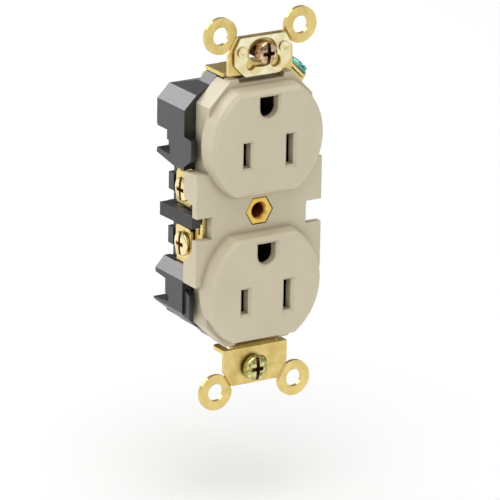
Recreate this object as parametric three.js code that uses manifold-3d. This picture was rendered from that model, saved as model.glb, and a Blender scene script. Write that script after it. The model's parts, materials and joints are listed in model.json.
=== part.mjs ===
// Duplex wall outlet: two three-pin sockets in one moulded cover, a black rear body with
// side and back wiring, and a brass strap that wraps round the back and carries the ears.
//
// Millimetres. X runs right, Y runs into the wall, Z runs up.
// The origin is the centre of the device on the plane of the strap's rear mounting faces.

import * as THREE from "three";
import { mergeVertices } from "three/addons/utils/BufferGeometryUtils.js";
import { ConvexGeometry } from "three/addons/geometries/ConvexGeometry.js";
import Module from "manifold-3d";

const wasm = await Module();
wasm.setup();

// ---------------------------------------------------------------- driving dimensions

const SOCKET_PITCH = 38.9;            // between the two socket centres
const SOCKET_Z = [SOCKET_PITCH / 2, -SOCKET_PITCH / 2];
const BLADE_SPACING = 12.7;           // between the two blade slots
const BLADE_DROP = 2.95;              // blade slots below the socket centre
const GROUND_RISE = 11.9;             // ground hole above the blade slots
const MOUNTING_CENTRES = 83.3;        // between the two mounting screws
const COVER_SCREW_HOLE_R = 1.6;       // tapped hole of the centre bush

const CLEARANCE = 0.1;                // between pieces that rest on each other square
const LOOSE = 0.3;                    // between pieces that turn or lie at 45 degrees

// moulded cover
const COVER = {
  front: -1.6,                        // plane of the flange
  back: 4.8,
  halfWidth: 15.35,
  halfHeight: 35.2,
  corner: 6.0,                        // 45 degree corners
  tabHalfWidth: 18.7,                 // side tabs that flank the terminals
};
const FACE = {
  front: -6.15,
  baseRadius: 17.05,
  frontRadius: 16.3,
  baseFlat: 14.3,                     // flats above and below each face
  frontFlat: 13.6,
  inside: -3.2,                       // back of the face's front wall
  edge: 0.9,                          // chamfer of the front edge
};
const FACE_BASE_Y = COVER.front + 0.9;
const HOT_SLOT = { height: 6.6, width: 2.1 };
const NEUTRAL_SLOT = { height: 8.15, width: 2.1 };
const GROUND_HOLE = { width: 5.4, height: 5.7 };
const SLOT_LEAD_IN = 0.7;             // chamfer round each opening

// black rear body
const BODY = {
  front: 4.9,
  back: 18.3,
  halfWidth: 15.2,
  blockHalfWidth: 18.7,
  floor: 16.4,                        // bottom of the contact cavities
  bayWall: 14.1,                      // inner wall of the terminal bays
  endCorner: { 1: 46.2, "-1": 45.2 }, // x + z of the 45 degree corners, above and below
  shoulder: { 1: 31.0, "-1": 30.0 },  // where the back starts to slope to the ends
  cap: { 1: 35.5, "-1": 34.9 },       // ends of the core
  finFront: { 1: 5.4, "-1": 0.6 },    // front edge of the fin, neutral side and hot side
};
const CAVITY = { inner: 3.9, outer: 15.6, halfHeight: 5.4 };
const GROUND_CAVITY = { halfWidth: 3.5, halfHeight: 3.7 };

// brass strap
const STRAP = {
  thickness: 1.0,
  plateHalfWidth: 9.5,
  plateFrom: 36.6,                    // lower edge of the upper mounting plate
  plateTo: 46.5,
  tongueHalfWidth: 6.6,
  legCentre: 36.35,                   // middle of the sheet where it runs back
  slopeFrom: 10.9,
  shoulder: [12.8, 33.6],             // where it meets the sloping end of the body
  backCentre: 19.0,
  backHalfHeight: 31.8,
  backHalfWidth: 5.0,
  topLegBack: 10.4,
  bendRadius: 1.1,                    // at the middle of the sheet
};
const EAR = { x: 11.8, z: 47.4, radius: 4.8, hole: 2.3, score: [[7.1, 46.6], [9.7, 42.4]] };
const OVAL_SLOT = { halfLength: 3.5, halfHeight: 2.3 };
const SLOT_Z = MOUNTING_CENTRES / 2;

// terminals
const TERMINAL = {
  inner: 14.3,                        // faces of the terminal plate
  outer: 15.3,
  front: 1.0,
  back: 13.5,
  screwY: 8.2,
  screwZ: [5.6, -8.9],
  notch: [-5.6, 0.4],                 // gap bridged by the break-off fin
};
const THREAD_R = 1.75;                // 6-32 screws
const TERMINAL_HEAD = { radius: 3.2, rim: 0.9, dome: 0.5 };
const CLAMP = { thickness: 0.75, y: [4.85, 12.4], halfHeight: 4.4 };

// ground screw on its 45 degree tab, (along, out) measured in the tab's own frame
const GROUND_TAB = { y: [1.9, 7.5], screwY: 4.7, bendX: 9.5, length: 7.1, screwAt: 4.3 };
const GROUND_HEAD = { radius: 3.5, flangeHeight: 0.7, hexRadius: 3.15, hexHeight: 1.0 };
const GROUND_THREAD_R = 2.0;
const GROUND_SHANK = 6.8;
const GROUND_CLAMP = { halfLength: 2.7, halfWidth: 2.9 };

// centre bush, fastened through cover, body and strap
const BUSH = { acrossFlats: 6.95, seat: 1.0, shankRadius: 2.7, end: 20.3 };
const GROUND_RIVET_R = 1.3;

// self-grounding clip, staked on the upper mounting plate
const CLIP = {
  front: -2.15,
  back: -1.45,
  stakes: [[-6.15, 42.8], [6.15, 42.8]],
  stakeRadius: 1.2,
  opening: [-0.2, 42.05, 4.4, 3.75],  // centre, half length and half height
  lobe: { x: 3.6, z: 39.3, radius: 1.65, shift: 0.2 },
};

// mounting screws; each sits where its oval slot lets it lie, as [x, z, seat, head radius]
const MOUNT_SCREW = {
  rim: 0.8,
  dome: 1.3,
  tip: 8.0,
  places: { top: [0.5, 42.0, -2.3, 3.05], bottom: [-0.8, -42.05, -1.7, 3.4] },
};
const RETAINER = {                    // half length, half height and tilt of each washer
  top: [3.9, 2.15, -Math.PI / 6],
  bottom: [4.2, 3.4, 0],
};

const HALF_TURN = Math.PI;
const QUARTER_TURN = Math.PI / 2;
const EIGHTH_TURN = Math.PI / 4;
const ARC_STEPS = 6;                  // facets in a quarter round
const ROUND_STEPS = 24;               // facets in a full round

// ---------------------------------------------------------------- solids and outlines

function solid(geometry) {
  const bare = geometry.clone();
  bare.deleteAttribute("normal");
  bare.deleteAttribute("uv");
  const merged = mergeVertices(bare, 1e-4);
  return new wasm.Manifold(new wasm.Mesh({
    numProp: 3,
    vertProperties: new Float32Array(merged.attributes.position.array),
    triVerts: new Uint32Array(merged.index.array),
  }));
}

function geometryOf(manifold) {
  const mesh = manifold.getMesh();
  const geometry = new THREE.BufferGeometry();
  geometry.setAttribute("position", new THREE.BufferAttribute(mesh.vertProperties, 3));
  geometry.setIndex(new THREE.BufferAttribute(mesh.triVerts, 1));
  const faceted = geometry.toNonIndexed();
  faceted.computeVertexNormals();
  return faceted;
}

const join = (...solids) => solids.reduce((sum, next) => sum.add(next));
const cut = (first, ...tools) => tools.reduce((rest, tool) => rest.subtract(tool), first);

function block([x0, x1], [y0, y1], [z0, z1]) {
  const geometry = new THREE.BoxGeometry(x1 - x0, y1 - y0, z1 - z0);
  geometry.translate((x0 + x1) / 2, (y0 + y1) / 2, (z0 + z1) / 2);
  return solid(geometry);
}

// An extruded outline lies in the plane of two axes and runs along the third.
const PLANES = {
  xz: new THREE.Matrix4().makeBasis(
    new THREE.Vector3(1, 0, 0), new THREE.Vector3(0, 0, 1), new THREE.Vector3(0, -1, 0)),
  yz: new THREE.Matrix4().makeBasis(
    new THREE.Vector3(0, 1, 0), new THREE.Vector3(0, 0, 1), new THREE.Vector3(1, 0, 0)),
  xy: new THREE.Matrix4(),
};

function prism(plane, outline, from, to) {
  const geometry = new THREE.ExtrudeGeometry(outline, {
    depth: to - from, bevelEnabled: false, curveSegments: ARC_STEPS,
  });
  const start = plane === "xz" ? -to : from;
  geometry.translate(0, 0, start);
  geometry.applyMatrix4(PLANES[plane]);
  return solid(geometry);
}

const polygon = (points) => new THREE.Shape(points.map(([a, b]) => new THREE.Vector2(a, b)));

function arcPoints(a, b, radius, from, to, steps) {
  const points = [];
  for (let i = 0; i <= steps; i += 1) {
    const angle = from + (to - from) * (i / steps);
    points.push([a + radius * Math.cos(angle), b + radius * Math.sin(angle)]);
  }
  return points;
}

function disc(a, b, radius, steps = ROUND_STEPS) {
  return polygon(arcPoints(a, b, radius, 0, 2 * HALF_TURN, steps).slice(0, -1));
}

function oval(a, b, halfLength, halfHeight) {
  const reach = halfLength - halfHeight;
  return polygon([
    ...arcPoints(a + reach, b, halfHeight, -QUARTER_TURN, QUARTER_TURN, 2 * ARC_STEPS),
    ...arcPoints(a - reach, b, halfHeight, QUARTER_TURN, 3 * QUARTER_TURN, 2 * ARC_STEPS),
  ]);
}

// Outline with each corner rounded by the same radius.
function roundedPolygon(points, radius, steps = 3) {
  const rounded = [];
  points.forEach((point, i) => {
    const corner = new THREE.Vector2(...point);
    const before = new THREE.Vector2(...points[(i + points.length - 1) % points.length]);
    const after = new THREE.Vector2(...points[(i + 1) % points.length]);
    const start = corner.clone().add(before.sub(corner).setLength(radius));
    const end = corner.clone().add(after.sub(corner).setLength(radius));
    const curve = new THREE.QuadraticBezierCurve(start, corner, end);
    rounded.push(...curve.getPoints(steps).map((p) => [p.x, p.y]));
  });
  return polygon(rounded);
}

// Outline of a sheet of even thickness bent along a path.
function bentSheet(path, thickness, bendRadius) {
  const sides = [1, -1].map((side) => {
    const edge = [];
    path.forEach((point, i) => {
      const here = new THREE.Vector2(...point);
      const back = i > 0 ? here.clone().sub(new THREE.Vector2(...path[i - 1])).normalize() : null;
      const on = i < path.length - 1
        ? new THREE.Vector2(...path[i + 1]).sub(here).normalize() : null;
      const normal = (v) => new THREE.Vector2(-v.y, v.x);
      if (!back || !on) {
        edge.push(here.clone().addScaledVector(normal(back ?? on), (side * thickness) / 2));
        return;
      }
      const turn = Math.atan2(back.cross(on), back.dot(on));
      const setback = bendRadius * Math.tan(Math.abs(turn) / 2);
      const centre = here.clone().addScaledVector(back, -setback)
        .addScaledVector(normal(back), Math.sign(turn) * bendRadius);
      const radius = bendRadius - (Math.sign(turn) * side * thickness) / 2;
      const first = Math.atan2(back.y, back.x) - Math.sign(turn) * QUARTER_TURN;
      arcPoints(centre.x, centre.y, radius, first, first + turn, ARC_STEPS / 2)
        .forEach(([a, b]) => edge.push(new THREE.Vector2(a, b)));
    });
    return edge;
  });
  return new THREE.Shape([...sides[0], ...sides[1].reverse()]);
}

// A turned piece: its profile runs [radius, place] from low to high along the axis.
function turned(axis, profile, steps = ROUND_STEPS) {
  const points = profile.map(([radius, along]) => new THREE.Vector2(radius, along));
  const geometry = new THREE.LatheGeometry(points, steps);
  if (axis === "x") geometry.rotateZ(-QUARTER_TURN);
  if (axis === "z") geometry.rotateX(QUARTER_TURN);
  return solid(geometry);
}

// A rod along one axis between two places on it.
function rod(axis, radius, [a, b], from, to, steps = ROUND_STEPS) {
  const plane = { x: "yz", y: "xz", z: "xy" }[axis];
  return prism(plane, disc(a, b, radius, steps), from, to);
}

const mirrorX = (build) => [1, -1].map((side) => build(side));
const sided = (side, low, high) => (side > 0 ? [low, high] : [-high, -low]);

// ---------------------------------------------------------------- materials

const paint = (color, roughness, metalness) =>
  new THREE.MeshStandardMaterial({ color, roughness, metalness });
const MATERIALS = {
  ivory: paint(0xcdc2a6, 0.45, 0),
  black: paint(0x2a2929, 0.5, 0),
  strap: paint(0xd3b268, 0.38, 1),
  contact: paint(0xd8ad5c, 0.35, 1),
  bush: paint(0xe2b656, 0.25, 1),
  brassScrew: paint(0xe4c884, 0.25, 1),
  nickelScrew: paint(0xc9c7c0, 0.25, 1),
  zincScrew: paint(0xa58a45, 0.3, 1),
  greenScrew: paint(0x4f9a80, 0.35, 1),
  fibre: paint(0x7a3a24, 0.8, 0),
};

const group = new THREE.Group();

function place(name, built, material, parent = group) {
  const mesh = new THREE.Mesh(geometryOf(built), MATERIALS[material]);
  mesh.name = name;
  parent.add(mesh);
  return mesh;
}

// ---------------------------------------------------------------- moulded cover

// A face is a disc with flats above and below, drafted towards the front, with a chamfered
// front edge.
function faceBoss(z) {
  const ring = (grow, y) => {
    const drafted = (base, front) =>
      base + ((front - base) * (FACE_BASE_Y - y)) / (FACE_BASE_Y - FACE.front) + grow;
    const radius = drafted(FACE.baseRadius, FACE.frontRadius);
    const reach = Math.asin(drafted(FACE.baseFlat, FACE.frontFlat) / radius);
    return [0, HALF_TURN].flatMap((turn) =>
      arcPoints(0, 0, radius, turn - reach, turn + reach, 3 * ARC_STEPS)
        .map(([a, b]) => new THREE.Vector3(a, y, z + b)));
  };
  return solid(new ConvexGeometry([...ring(0, FACE_BASE_Y), ...ring(0, FACE.front + FACE.edge),
    ...ring(-FACE.edge, FACE.front)]));
}

function chamferedSlot(x, z, width, height) {
  const hole = block([x - width / 2, x + width / 2], [FACE.front - 1, 1],
    [z - height / 2, z + height / 2]);
  return join(hole, leadIn(rectangleRing(x, z, width, height)));
}

const rectangleRing = (x, z, width, height) => [1, 0].map((grow) => {
  const w = width / 2 + grow * (SLOT_LEAD_IN + 0.1);
  const h = height / 2 + grow * (SLOT_LEAD_IN + 0.1);
  return [[x - w, z - h], [x + w, z - h], [x + w, z + h], [x - w, z + h]];
});

// The lead-in is a short taper from a wide ring in front to the opening's own ring.
function leadIn([wide, narrow]) {
  const points = [
    ...wide.map(([a, b]) => new THREE.Vector3(a, FACE.front - 0.1, b)),
    ...narrow.map(([a, b]) => new THREE.Vector3(a, FACE.front + SLOT_LEAD_IN, b)),
  ];
  return solid(new ConvexGeometry(points));
}

// Flat above, half round below.
function groundRing(z, grow) {
  const radius = GROUND_HOLE.width / 2 + grow;
  const top = z + GROUND_HOLE.height / 2 + grow;
  const round = z - GROUND_HOLE.height / 2 + GROUND_HOLE.width / 2;
  return [[radius, top], [-radius, top],
    ...arcPoints(0, round, radius, HALF_TURN, 2 * HALF_TURN, 2 * ARC_STEPS)];
}

function groundHole(z) {
  const hole = prism("xz", polygon(groundRing(z, 0)), FACE.front - 1, COVER.back + 1);
  return join(hole, leadIn([groundRing(z, SLOT_LEAD_IN + 0.1), groundRing(z, 0)]));
}

function coverOutline() {
  const { halfWidth: w, halfHeight: h, corner: c } = COVER;
  return polygon([
    [w, -h + c], [w, h - c], [w - c, h], [-w + c, h],
    [-w, h - c], [-w, -h + c], [-w + c, -h], [w - c, -h],
  ]);
}

// Side tab: its rear edge steps round the two terminal screws.
function tabBlock(side) {
  const profile = roundedPolygon([
    [COVER.front, 11.9], [COVER.front, -18.0], [4.7, -18.0], [4.5, -12.4], [0.9, -9.2],
    [0.5, -7.3], [0.5, 3.75], [4.5, 4.7], [4.7, 11.7],
  ], 0.25, 1);
  const tab = prism("yz", profile, ...sided(side, COVER.halfWidth - 1.5, COVER.tabHalfWidth));
  const [low, high] = TERMINAL.notch;
  const notch = block(sided(side, 14.1, 20), [COVER.front - 1, 2], [low, high]);
  return cut(tab, notch);
}

function frontCover() {
  const { front, back, halfWidth } = COVER;
  let cover = prism("xz", coverOutline(), front, back);
  cover = join(cover, ...mirrorX(tabBlock), ...SOCKET_Z.map(faceBoss));

  // horns that stand beside the strap's upper bend, and a step behind each bend
  const horns = mirrorX((side) => block(
    sided(side, STRAP.tongueHalfWidth + 0.25, halfWidth - COVER.corner),
    [front, 1.2], [COVER.halfHeight - 1, COVER.halfHeight + 0.5]));
  const steps = [1, -1].map((end) => block(
    [-STRAP.tongueHalfWidth, STRAP.tongueHalfWidth], [front - 1, 1.0], sided(end, 34.5, 40)));
  cover = cut(join(cover, ...horns), ...steps);

  // openings for the plugs, and the cored-out rear
  for (const z of SOCKET_Z) {
    const bladeZ = z - BLADE_DROP;
    const groundZ = bladeZ + GROUND_RISE;
    const x = BLADE_SPACING / 2;
    cover = cut(cover,
      chamferedSlot(-x, bladeZ, HOT_SLOT.width, HOT_SLOT.height),
      chamferedSlot(x, bladeZ, NEUTRAL_SLOT.width, NEUTRAL_SLOT.height),
      groundHole(groundZ),
      block([-GROUND_CAVITY.halfWidth, GROUND_CAVITY.halfWidth], [FACE.inside, back + 1],
        [groundZ - GROUND_CAVITY.halfHeight, groundZ + GROUND_CAVITY.halfHeight]),
      ...mirrorX((side) => block(sided(side, CAVITY.inner, 12.6), [FACE.inside, back + 1],
        [bladeZ - CAVITY.halfHeight, bladeZ + CAVITY.halfHeight])));
  }

  // side channels for the terminal plates, the bush's hexagonal seat and the ground screw
  const [notchLow, notchHigh] = TERMINAL.notch;
  for (const side of [1, -1]) {
    cover = cut(cover,
      block(sided(side, BODY.bayWall, TERMINAL.outer + 0.75), [TERMINAL.front - LOOSE, back + 1],
        [-15.6, 10.9]),
      block(sided(side, 14.1, 20), [front - 1, 2], [notchLow, notchHigh]));
  }
  cover = cut(cover,
    prism("xz", hexagon(BUSH.acrossFlats / 2 + 0.12), front - 1, BUSH.seat),
    rod("y", BUSH.shankRadius + CLEARANCE, [0, 0], BUSH.seat - 1, back + 1),
    groundScrewPocket());
  return cover;
}

// ---------------------------------------------------------------- black rear body

const xyz = (x, y, z) => new THREE.Vector3(x, y, z);

// The core steps up at both ends to carry the strap: a main block, a low hip and a cap.
function bodyCore() {
  const level = (halfWidth, depth, z) => [
    xyz(halfWidth, BODY.front, z), xyz(-halfWidth, BODY.front, z),
    xyz(halfWidth, depth, z), xyz(-halfWidth, depth, z)];
  const taper = (...levels) => solid(new ConvexGeometry(levels.flat()));
  const { halfWidth, front, back, shoulder, cap } = BODY;
  const main = block([-halfWidth, halfWidth], [front, back], [-shoulder[-1], shoulder[1]]);
  const ends = [1, -1].flatMap((end) => [
    taper(level(halfWidth, back, end * (shoulder[end] - 0.5)),
      level(halfWidth, back, end * shoulder[end]), level(11.1, 10.5, end * 33.1)),
    taper(level(11.8, 10.5, end * 32), level(11.1, 10.5, end * 33.1),
      level(9.3, 10.2, end * cap[end])),
  ]);
  return join(main, ...ends);
}

function upperBlock(side) {
  const profile = polygon([
    [BODY.front, 31.0], [BODY.front, 11.7], [10.0, 11.7], [18.4, 13.2], [17.9, 14.6],
    [15.2, 14.2], [11.8, 14.2], [11.8, 17.8], [13.3, 17.8], [13.3, 20.3], [18.0, 20.3],
    [BODY.back, 21.0], [BODY.back, 31.0],
  ]);
  const wall = prism("yz", profile, ...sided(side, BODY.halfWidth - 1, BODY.blockHalfWidth));
  const lugOutline = polygon([[6, 20.8], [1.5, 20.2], [1.5, 14.9], [BODY.front, 12.6], [6, 12.6]]);
  const lug = prism("yz", lugOutline, ...sided(side, 16.9, BODY.blockHalfWidth));
  return join(cut(wall, cornerCutter(side, 1)), lug);
}

function lowerBlock(side) {
  const profile = polygon([
    [BODY.front, -15.0], [BODY.back, -15.0], [BODY.back, -19.0], [13.4, -19.5], [13.4, -23.5],
    [11.8, -23.5], [11.8, -25.5], [13.4, -25.5], [19.2, -26.0], [18.6, -27.2], [12.0, -31.0],
    [BODY.front, -31.0],
  ]);
  const wall = prism("yz", profile, ...sided(side, BODY.halfWidth - 1, BODY.blockHalfWidth));
  const ridge = prism("xz", side > 0
    ? polygon([[15.7, -14.5], [19.5, -14.5], [19.5, -18.7]])
    : polygon([[-15.7, -14.5], [-19.5, -18.7], [-19.5, -14.5]]), 0, 30);
  const lugOutline = polygon([[6, -19.9], [4.4, -20.3], [2.4, -21.3], [2.4, -27.6], [6, -27.4]]);
  const lug = prism("yz", lugOutline, ...sided(side, 16.9, 18.1));
  return join(cut(wall, cornerCutter(side, -1), ridge), lug);
}

// Takes the 45 degree corner off a side block.
function cornerCutter(side, end) {
  const reach = BODY.endCorner[end];
  const points = [[side * (reach - 32), end * 32], [side * 20, end * (reach - 20)],
    [side * 20, end * 32]];
  return prism("xz", polygon(side * end > 0 ? points : points.reverse()), 0, 30);
}

// Fin between the two screws of a bay, and a lug behind each screw that parts its two wires.
function bayWalls(side) {
  const start = BODY.finFront[side];
  const fin = prism("yz", polygon([[start, -2.8], [16.4, -3.2], [16.4, 0.3], [start, 0.9]]),
    ...sided(side, 16.1, BODY.blockHalfWidth));
  const root = block(sided(side, 13, 16.2), [BODY.front, 16.4], [-3.0, 0.4]);
  const lugs = TERMINAL.screwZ.map((z) =>
    block(sided(side, 13, 15.0), [15.8, BODY.back], [z - 2.8, z + 1.8]));
  return join(fin, root, ...lugs);
}

function rearBody() {
  const bays = mirrorX((side) => join(
    block(sided(side, BODY.bayWall, 20), [0, 30], [-15.2, 11.9]),
    block(sided(side, BODY.bayWall - 0.8, 20), [17.2, 30], [-15.2, 11.9])));
  let body = cut(bodyCore(), ...bays);
  body = join(body, ...mirrorX(upperBlock), ...mirrorX(lowerBlock), ...mirrorX(bayWalls));

  for (const z of SOCKET_Z) {
    const bladeZ = z - BLADE_DROP;
    const groundZ = bladeZ + GROUND_RISE;
    body = cut(body,
      block([-GROUND_CAVITY.halfWidth, GROUND_CAVITY.halfWidth], [BODY.front - 1, BODY.floor],
        [groundZ - GROUND_CAVITY.halfHeight, groundZ + GROUND_CAVITY.halfHeight]),
      block([-2.9, 2.9], [BODY.floor - 1, BODY.back + 1], [groundZ - 2.9, groundZ + 2.9]),
      ...mirrorX((side) => block(sided(side, CAVITY.inner, CAVITY.outer), [BODY.front - 1, 15.2],
        [bladeZ - CAVITY.halfHeight, bladeZ + CAVITY.halfHeight])));
  }
  for (const side of [1, -1]) {
    const slot = [TERMINAL.inner - 0.3, TERMINAL.outer + 0.3];
    body = cut(body,
      block(sided(side, ...slot), [BODY.front - 1, TERMINAL.back + LOOSE], [-18, 13]));
    for (const z of TERMINAL.screwZ) {
      body = body.subtract(rod("x", THREAD_R + 0.5, [TERMINAL.screwY, z],
        ...sided(side, 8.6, 15)));
    }
  }
  return cut(body, rod("y", BUSH.shankRadius + CLEARANCE, [0, 0], 0, 30), groundScrewPocket(),
    groundTabRecess());
}

// ---------------------------------------------------------------- centre bush

function hexagon(apothem, a = 0, b = 0) {
  const radius = apothem / Math.cos(HALF_TURN / 6);
  return polygon(arcPoints(a, b, radius, 0, 2 * HALF_TURN, 6).slice(0, -1));
}

// Hexagonal head in the cover, shank through the body, rolled over behind the strap.
function coverScrewBush() {
  const head = prism("xz", hexagon(BUSH.acrossFlats / 2), COVER.front, BUSH.seat - CLEARANCE);
  const shank = rod("y", BUSH.shankRadius, [0, 0], 0, BUSH.end);
  const strapBack = STRAP.backCentre + STRAP.thickness / 2;
  const rolled = rod("y", BUSH.shankRadius + 0.9, [0, 0], strapBack + CLEARANCE, BUSH.end);
  const bore = rod("y", COVER_SCREW_HOLE_R, [0, 0], COVER.front - 1, BUSH.end + 1);
  const sink = solid(new THREE.CylinderGeometry(2.5, 1.3, 1.2, ROUND_STEPS)
    .rotateX(-QUARTER_TURN).translate(0, COVER.front + 0.2, 0));
  return cut(join(head, shank, rolled), bore, sink);
}

// ---------------------------------------------------------------- brass strap

const halfSheet = STRAP.thickness / 2;

function mountingPlate(end) {
  const w = STRAP.plateHalfWidth;
  const outline = [[w, STRAP.plateFrom], [w, 42.4], [6.9, STRAP.plateTo], [-6.9, STRAP.plateTo],
    [-w, 42.4], [-w, STRAP.plateFrom]].map(([x, z]) => [x, end * z]);
  let plate = prism("xz", polygon(end > 0 ? outline : outline.reverse()), -STRAP.thickness, 0);
  for (const side of [1, -1]) {
    plate = plate.add(rod("y", EAR.radius, [side * EAR.x, end * EAR.z], -STRAP.thickness, 0));
  }
  for (const side of [1, -1]) {
    plate = cut(plate,
      rod("y", EAR.hole, [side * EAR.x, end * EAR.z], -STRAP.thickness - 1, 1),
      scoreLine(side, end));
  }
  return plate;
}

// V-shaped groove across the neck of each ear, where it is snapped off.
function scoreLine(side, end) {
  const [[x0, z0], [x1, z1]] = EAR.score;
  const geometry = new THREE.CylinderGeometry(0.5, 0.5, 9, 4);
  geometry.rotateZ(QUARTER_TURN);
  geometry.rotateY(side * end * Math.atan2(z0 - z1, x1 - x0));
  geometry.translate((side * (x0 + x1)) / 2, -STRAP.thickness, (end * (z0 + z1)) / 2);
  return solid(geometry);
}

// Short flange bent back from each upper corner of the lower mounting plate.
function footWing(side) {
  const level = -STRAP.plateFrom - halfSheet;
  const profile = bentSheet([[-halfSheet, level - 3], [-halfSheet, level], [5.2, level]],
    STRAP.thickness, 0.9);
  const wing = prism("yz", profile, ...sided(side, 7.4, STRAP.plateHalfWidth));
  const corner = cut(
    block(sided(side, 8.2, 10), [3.9, 5.8], [-40, -34]),
    rod("z", 1.3, [side * 8.2, 3.9], -41, -33, 16));
  return cut(wing, corner);
}

function mountingStrap() {
  const s = STRAP;
  const path = [
    [-halfSheet, s.plateTo - 4], [-halfSheet, s.legCentre], [s.slopeFrom, s.legCentre],
    s.shoulder, [s.backCentre, s.backHalfHeight], [s.backCentre, -s.backHalfHeight],
    [s.shoulder[0], -s.shoulder[1]], [s.slopeFrom, -s.legCentre], [-halfSheet, -s.legCentre],
    [-halfSheet, -s.plateTo + 4],
  ];
  const w = s.tongueHalfWidth;
  const narrow = s.backHalfWidth;
  const leg = [s.legCentre - halfSheet, s.legCentre + halfSheet];
  let strap = prism("yz", bentSheet(path, s.thickness, s.bendRadius), -w, w);
  strap = cut(strap, ...mirrorX((side) => join(
    block(sided(side, narrow, 20), [s.topLegBack, 30], [0, 50]),
    block(sided(side, narrow, 20), [1.4, 30], [-50, 0]))));
  const topLeg = prism("xy", roundedPolygon([[-s.plateHalfWidth, 1.6], [s.plateHalfWidth, 1.6],
    [s.plateHalfWidth, s.topLegBack], [-s.plateHalfWidth, s.topLegBack]], 0.4), ...leg);
  strap = join(strap, mountingPlate(1), mountingPlate(-1), topLeg, groundTab(),
    ...mirrorX(footWing));

  for (const end of [1, -1]) {
    strap = strap.subtract(prism("xz",
      oval(0, end * SLOT_Z, OVAL_SLOT.halfLength, OVAL_SLOT.halfHeight), -5, 2));
  }
  const rivetZ = SOCKET_Z.map((z) => z - BLADE_DROP + GROUND_RISE);
  strap = cut(strap,
    rod("y", BUSH.shankRadius + CLEARANCE, [0, 0], 15, 25),
    ...rivetZ.map((z) => rod("y", GROUND_RIVET_R + CLEARANCE, [0, z], 15, 25)));

  // stakes that hold the grounding clip
  const stakes = CLIP.stakes.map(([x, z]) => rod("y", CLIP.stakeRadius, [x, z],
    CLIP.front - 0.35, -s.thickness / 2, 16));
  const spacers = CLIP.stakes.map(([x, z]) => rod("y", CLIP.stakeRadius + 0.5, [x, z],
    CLIP.back + CLEARANCE, -s.thickness / 2, 16));
  return join(strap, ...stakes, ...spacers);
}

// ---------------------------------------------------------------- ground screw and its tab

// Moves a piece built round the screw's own axis (+Z, thread end at 0) onto the 45 degree tab.
const TAB_OUT = (GROUND_TAB.bendX + STRAP.legCentre) / Math.SQRT2;
const TAB_ALONG = (GROUND_TAB.bendX - STRAP.legCentre) / Math.SQRT2 + GROUND_TAB.screwAt;

function tabPoint(along, out) {
  return [(along + out) / Math.SQRT2, (out - along) / Math.SQRT2];
}

function tabPrism(alongRange, outRange, yRange) {
  const corners = [[alongRange[0], outRange[0]], [alongRange[1], outRange[0]],
    [alongRange[1], outRange[1]], [alongRange[0], outRange[1]]].map(([a, o]) => tabPoint(a, o));
  return prism("xz", polygon(corners), ...yRange);
}

function groundTab() {
  const start = TAB_ALONG - GROUND_TAB.screwAt;
  const [x, z] = tabPoint(start + GROUND_TAB.length, TAB_OUT);
  const sheet = bentSheet([[6, STRAP.legCentre], [GROUND_TAB.bendX, STRAP.legCentre], [x, z]],
    STRAP.thickness, 1.0);
  const tab = prism("xz", sheet, ...GROUND_TAB.y);
  return tab.subtract(tabRod(GROUND_THREAD_R + LOOSE, TAB_OUT - 3, TAB_OUT + 3));
}

function tabRod(radius, from, to) {
  const geometry = new THREE.CylinderGeometry(radius, radius, to - from, ROUND_STEPS);
  geometry.rotateX(QUARTER_TURN);
  geometry.translate(0, 0, (from + to) / 2);
  geometry.rotateY(EIGHTH_TURN);
  geometry.translate(TAB_ALONG / Math.SQRT2, GROUND_TAB.screwY, -TAB_ALONG / Math.SQRT2);
  return solid(geometry);
}

const groundScrewPocket = () =>
  tabRod(GROUND_THREAD_R + 0.5, TAB_OUT - GROUND_SHANK - 0.5, TAB_OUT + 5);

function groundTabRecess() {
  const inner = TAB_OUT - halfSheet - LOOSE;
  return tabPrism([TAB_ALONG - 6.2, TAB_ALONG + 8], [inner, inner + 9], [0, 9.2]);
}

function groundScrewGroup() {
  const holder = new THREE.Group();
  const [x, z] = tabPoint(TAB_ALONG, TAB_OUT + halfSheet);
  holder.position.set(x, GROUND_TAB.screwY, z);
  holder.rotation.y = EIGHTH_TURN;
  group.add(holder);
  const { radius, flangeHeight, hexRadius, hexHeight } = GROUND_HEAD;
  const seat = LOOSE + CLAMP.thickness + 0.15;
  const flange = turned("z", [[0, seat], [radius, seat], [radius, seat + flangeHeight * 0.6],
    [radius - 0.5, seat + flangeHeight], [0, seat + flangeHeight]]);
  const hex = prism("xy", hexagon(hexRadius * Math.cos(HALF_TURN / 6)), seat + flangeHeight / 2,
    seat + flangeHeight + hexHeight);
  const shank = turned("z", [[0, -GROUND_SHANK], [GROUND_THREAD_R - 0.5, -GROUND_SHANK],
    [GROUND_THREAD_R, 0.8 - GROUND_SHANK], [GROUND_THREAD_R, seat + 0.2], [0, seat + 0.2]]);
  const slot = block([-0.5, 0.5], [-5, 5], [seat + flangeHeight + hexHeight - 0.9, seat + 6]);
  place("ground_screw", cut(join(flange, hex, shank), slot), "greenScrew", holder);

  const { halfLength: l, halfWidth: w } = GROUND_CLAMP;
  const outline = roundedPolygon([[-l, -w], [l, -w], [l, w], [-l, w]], 0.5);
  const plate = prism("xy", outline, LOOSE, LOOSE + CLAMP.thickness);
  const hole = prism("xy", disc(0, 0, GROUND_THREAD_R + LOOSE), -1, 2);
  place("ground_wire_clamp", cut(plate, hole), "contact", holder);
}

// ---------------------------------------------------------------- self-grounding clip

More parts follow.
